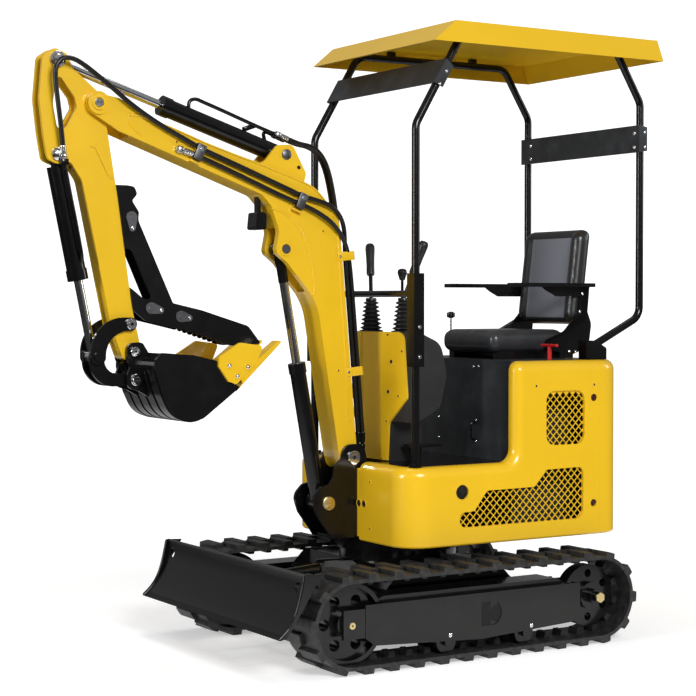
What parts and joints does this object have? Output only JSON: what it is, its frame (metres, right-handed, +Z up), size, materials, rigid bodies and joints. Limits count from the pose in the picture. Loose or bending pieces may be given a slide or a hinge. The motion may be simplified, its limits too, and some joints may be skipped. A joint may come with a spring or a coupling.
{
  "type": "mini excavator",
  "caption": "Compact tracked excavator with a four-post canopy, fixed thumb, dozer blade, slewing house and a jointed boom, arm and bucket.",
  "frame": {"origin": "the point on the ground under the slew axis", "axes": "+X forwards to the blade and bucket, +Y to the operator's left, +Z up"},
  "size_m": [2.1993, 0.98, 2.088],
  "materials": {
    "yellow_paint": "gloss",
    "black_paint": "satin",
    "rubber": "matte",
    "chrome": "polished",
    "black_plastic": "satin",
    "engine_iron": "rough",
    "vinyl": "satin",
    "red_plastic": "gloss",
    "gold_zinc": "satin"
  },
  "bodies": {
    "undercarriage": {"track_left": "rubber", "track_right": "rubber", "track_frame_left": "black_paint", "track_frame_right": "black_paint", "idler_left": "black_paint", "idler_right": "black_paint", "sprocket_left": "black_paint", "sprocket_right": "black_paint", "centre_frame": "black_paint"},
    "blade": {"blade": "black_paint"},
    "blade_ram_barrel": {"blade_ram_barrel": "black_paint"},
    "blade_ram_rod": {"blade_ram_rod": "chrome"},
    "house": {"main_frame": "black_paint", "boom_bracket": "black_paint", "side_cover_left": "yellow_paint", "side_cover_right": "yellow_paint", "rear_cover": "yellow_paint", "grilles": "yellow_paint", "floor_plate": "black_paint", "seat_box": "black_paint", "engine_block": "engine_iron", "console": "black_plastic", "console_cover": "yellow_paint", "controls": "black_plastic", "grab_bar": "black_paint", "pedals": "black_paint", "seat_frame": "black_paint", "seat_cushion": "vinyl", "seat_back": "vinyl", "levers": "red_plastic", "canopy_frame": "black_paint", "canopy_braces": "black_paint", "canopy_roof": "yellow_paint"},
    "boom": {"boom": "yellow_paint", "boom_pins": "gold_zinc", "boom_hoses": "rubber", "work_lamp": "black_plastic"},
    "lift_ram_barrel": {"lift_ram_barrel": "black_paint"},
    "lift_ram_rod": {"lift_ram_rod": "chrome"},
    "arm": {"arm": "yellow_paint", "thumb": "black_paint"},
    "arm_ram_barrel": {"arm_ram_barrel": "black_paint"},
    "arm_ram_rod": {"arm_ram_rod": "chrome"},
    "bucket_ram_barrel": {"bucket_ram_barrel": "black_paint"},
    "bucket_ram_rod": {"bucket_ram_rod": "chrome"},
    "guide_links": {"guide_links": "black_paint"},
    "bucket_link": {"bucket_link": "black_paint"},
    "bucket": {"bucket": "black_paint", "bucket_cutters": "yellow_paint"}
  },
  "joints": [
    {"name": "slew", "type": "hinge", "parent": "undercarriage", "child": "house", "pos_m": [0, 0, 0.31], "axis": [0, 0, 1], "continuous": true},
    {"name": "boom_lift", "type": "hinge", "parent": "house", "child": "boom", "pos_m": [0.221, 0, 0.638], "axis": [0, -1, 0], "range_deg": [-54, 4]},
    {"name": "arm_swing", "type": "hinge", "parent": "boom", "child": "arm", "pos_m": [1.144, 0, 1.784], "axis": [0, 1, 0], "range_deg": [-98, 4]},
    {"name": "bucket_curl", "type": "hinge", "parent": "arm", "child": "bucket", "pos_m": [1.022, 0, 1.009], "axis": [0, 1, 0], "range_deg": [-115, 3]},
    {"name": "blade_lift", "type": "hinge", "parent": "undercarriage", "child": "blade", "pos_m": [0.372, 0, 0.14], "axis": [0, -1, 0], "range_deg": [-40, 4]},
    {"name": "lift_ram_tilt", "type": "hinge", "parent": "house", "child": "lift_ram_barrel", "pos_m": [0.32, 0, 0.488], "axis": [0, 1, 0], "range_deg": [-3.7, 49.76]},
    {"name": "lift_ram_slide", "type": "slide", "parent": "lift_ram_barrel", "child": "lift_ram_rod", "axis": [0.1788, 0, 0.9839], "range_m": [-0.15287, 0.01134]},
    {"name": "arm_ram_tilt", "type": "hinge", "parent": "boom", "child": "arm_ram_barrel", "pos_m": [0.469, 0, 1.654], "axis": [0, 1, 0], "range_deg": [-6.32, 0.27]},
    {"name": "arm_ram_slide", "type": "slide", "parent": "arm_ram_barrel", "child": "arm_ram_rod", "axis": [0.952, 0, 0.3062], "range_m": [-0.26116, 0.01067]},
    {"name": "bucket_ram_tilt", "type": "hinge", "parent": "arm", "child": "bucket_ram_barrel", "pos_m": [1.271, 0, 1.621], "axis": [0, 1, 0], "range_deg": [-0.08, 2.67]},
    {"name": "bucket_ram_slide", "type": "slide", "parent": "bucket_ram_barrel", "child": "bucket_ram_rod", "axis": [-0.2, 0, -0.9798], "range_m": [-0.18271, 0.00478]},
    {"name": "guide_links_turn", "type": "hinge", "parent": "arm", "child": "guide_links", "pos_m": [1.033, 0, 1.096], "axis": [0, 1, 0], "range_deg": [-75.86, 1.99]},
    {"name": "bucket_link_turn", "type": "hinge", "parent": "bucket", "child": "bucket_link", "pos_m": [1.018, 0, 0.92], "axis": [0, 1, 0], "range_deg": [-2.04, 77.71]},
    {"name": "blade_ram_tilt", "type": "hinge", "parent": "undercarriage", "child": "blade_ram_barrel", "pos_m": [0.305, 0, 0.258], "axis": [0, 1, 0], "range_deg": [-2.94, 29.22]},
    {"name": "blade_ram_slide", "type": "slide", "parent": "blade_ram_barrel", "child": "blade_ram_rod", "axis": [0.9977, 0, -0.0685], "range_m": [-0.00625, 0.06232]}
  ],
  "couplings": [
    {"joint": "lift_ram_tilt", "follows": "boom_lift", "ratio": -0.9207},
    {"joint": "lift_ram_slide", "follows": "boom_lift", "m_per_rad": 0.1621},
    {"joint": "arm_ram_tilt", "follows": "arm_swing", "ratio": 0.0643},
    {"joint": "arm_ram_slide", "follows": "arm_swing", "m_per_rad": 0.1526},
    {"joint": "bucket_ram_tilt", "follows": "bucket_curl", "ratio": -0.0231},
    {"joint": "bucket_ram_slide", "follows": "bucket_curl", "m_per_rad": 0.09098},
    {"joint": "guide_links_turn", "follows": "bucket_curl", "ratio": 0.6592},
    {"joint": "bucket_link_turn", "follows": "bucket_curl", "ratio": -0.6753},
    {"joint": "blade_ram_tilt", "follows": "blade_lift", "ratio": -0.7298},
    {"joint": "blade_ram_slide", "follows": "blade_lift", "m_per_rad": -0.0892}
  ]
}
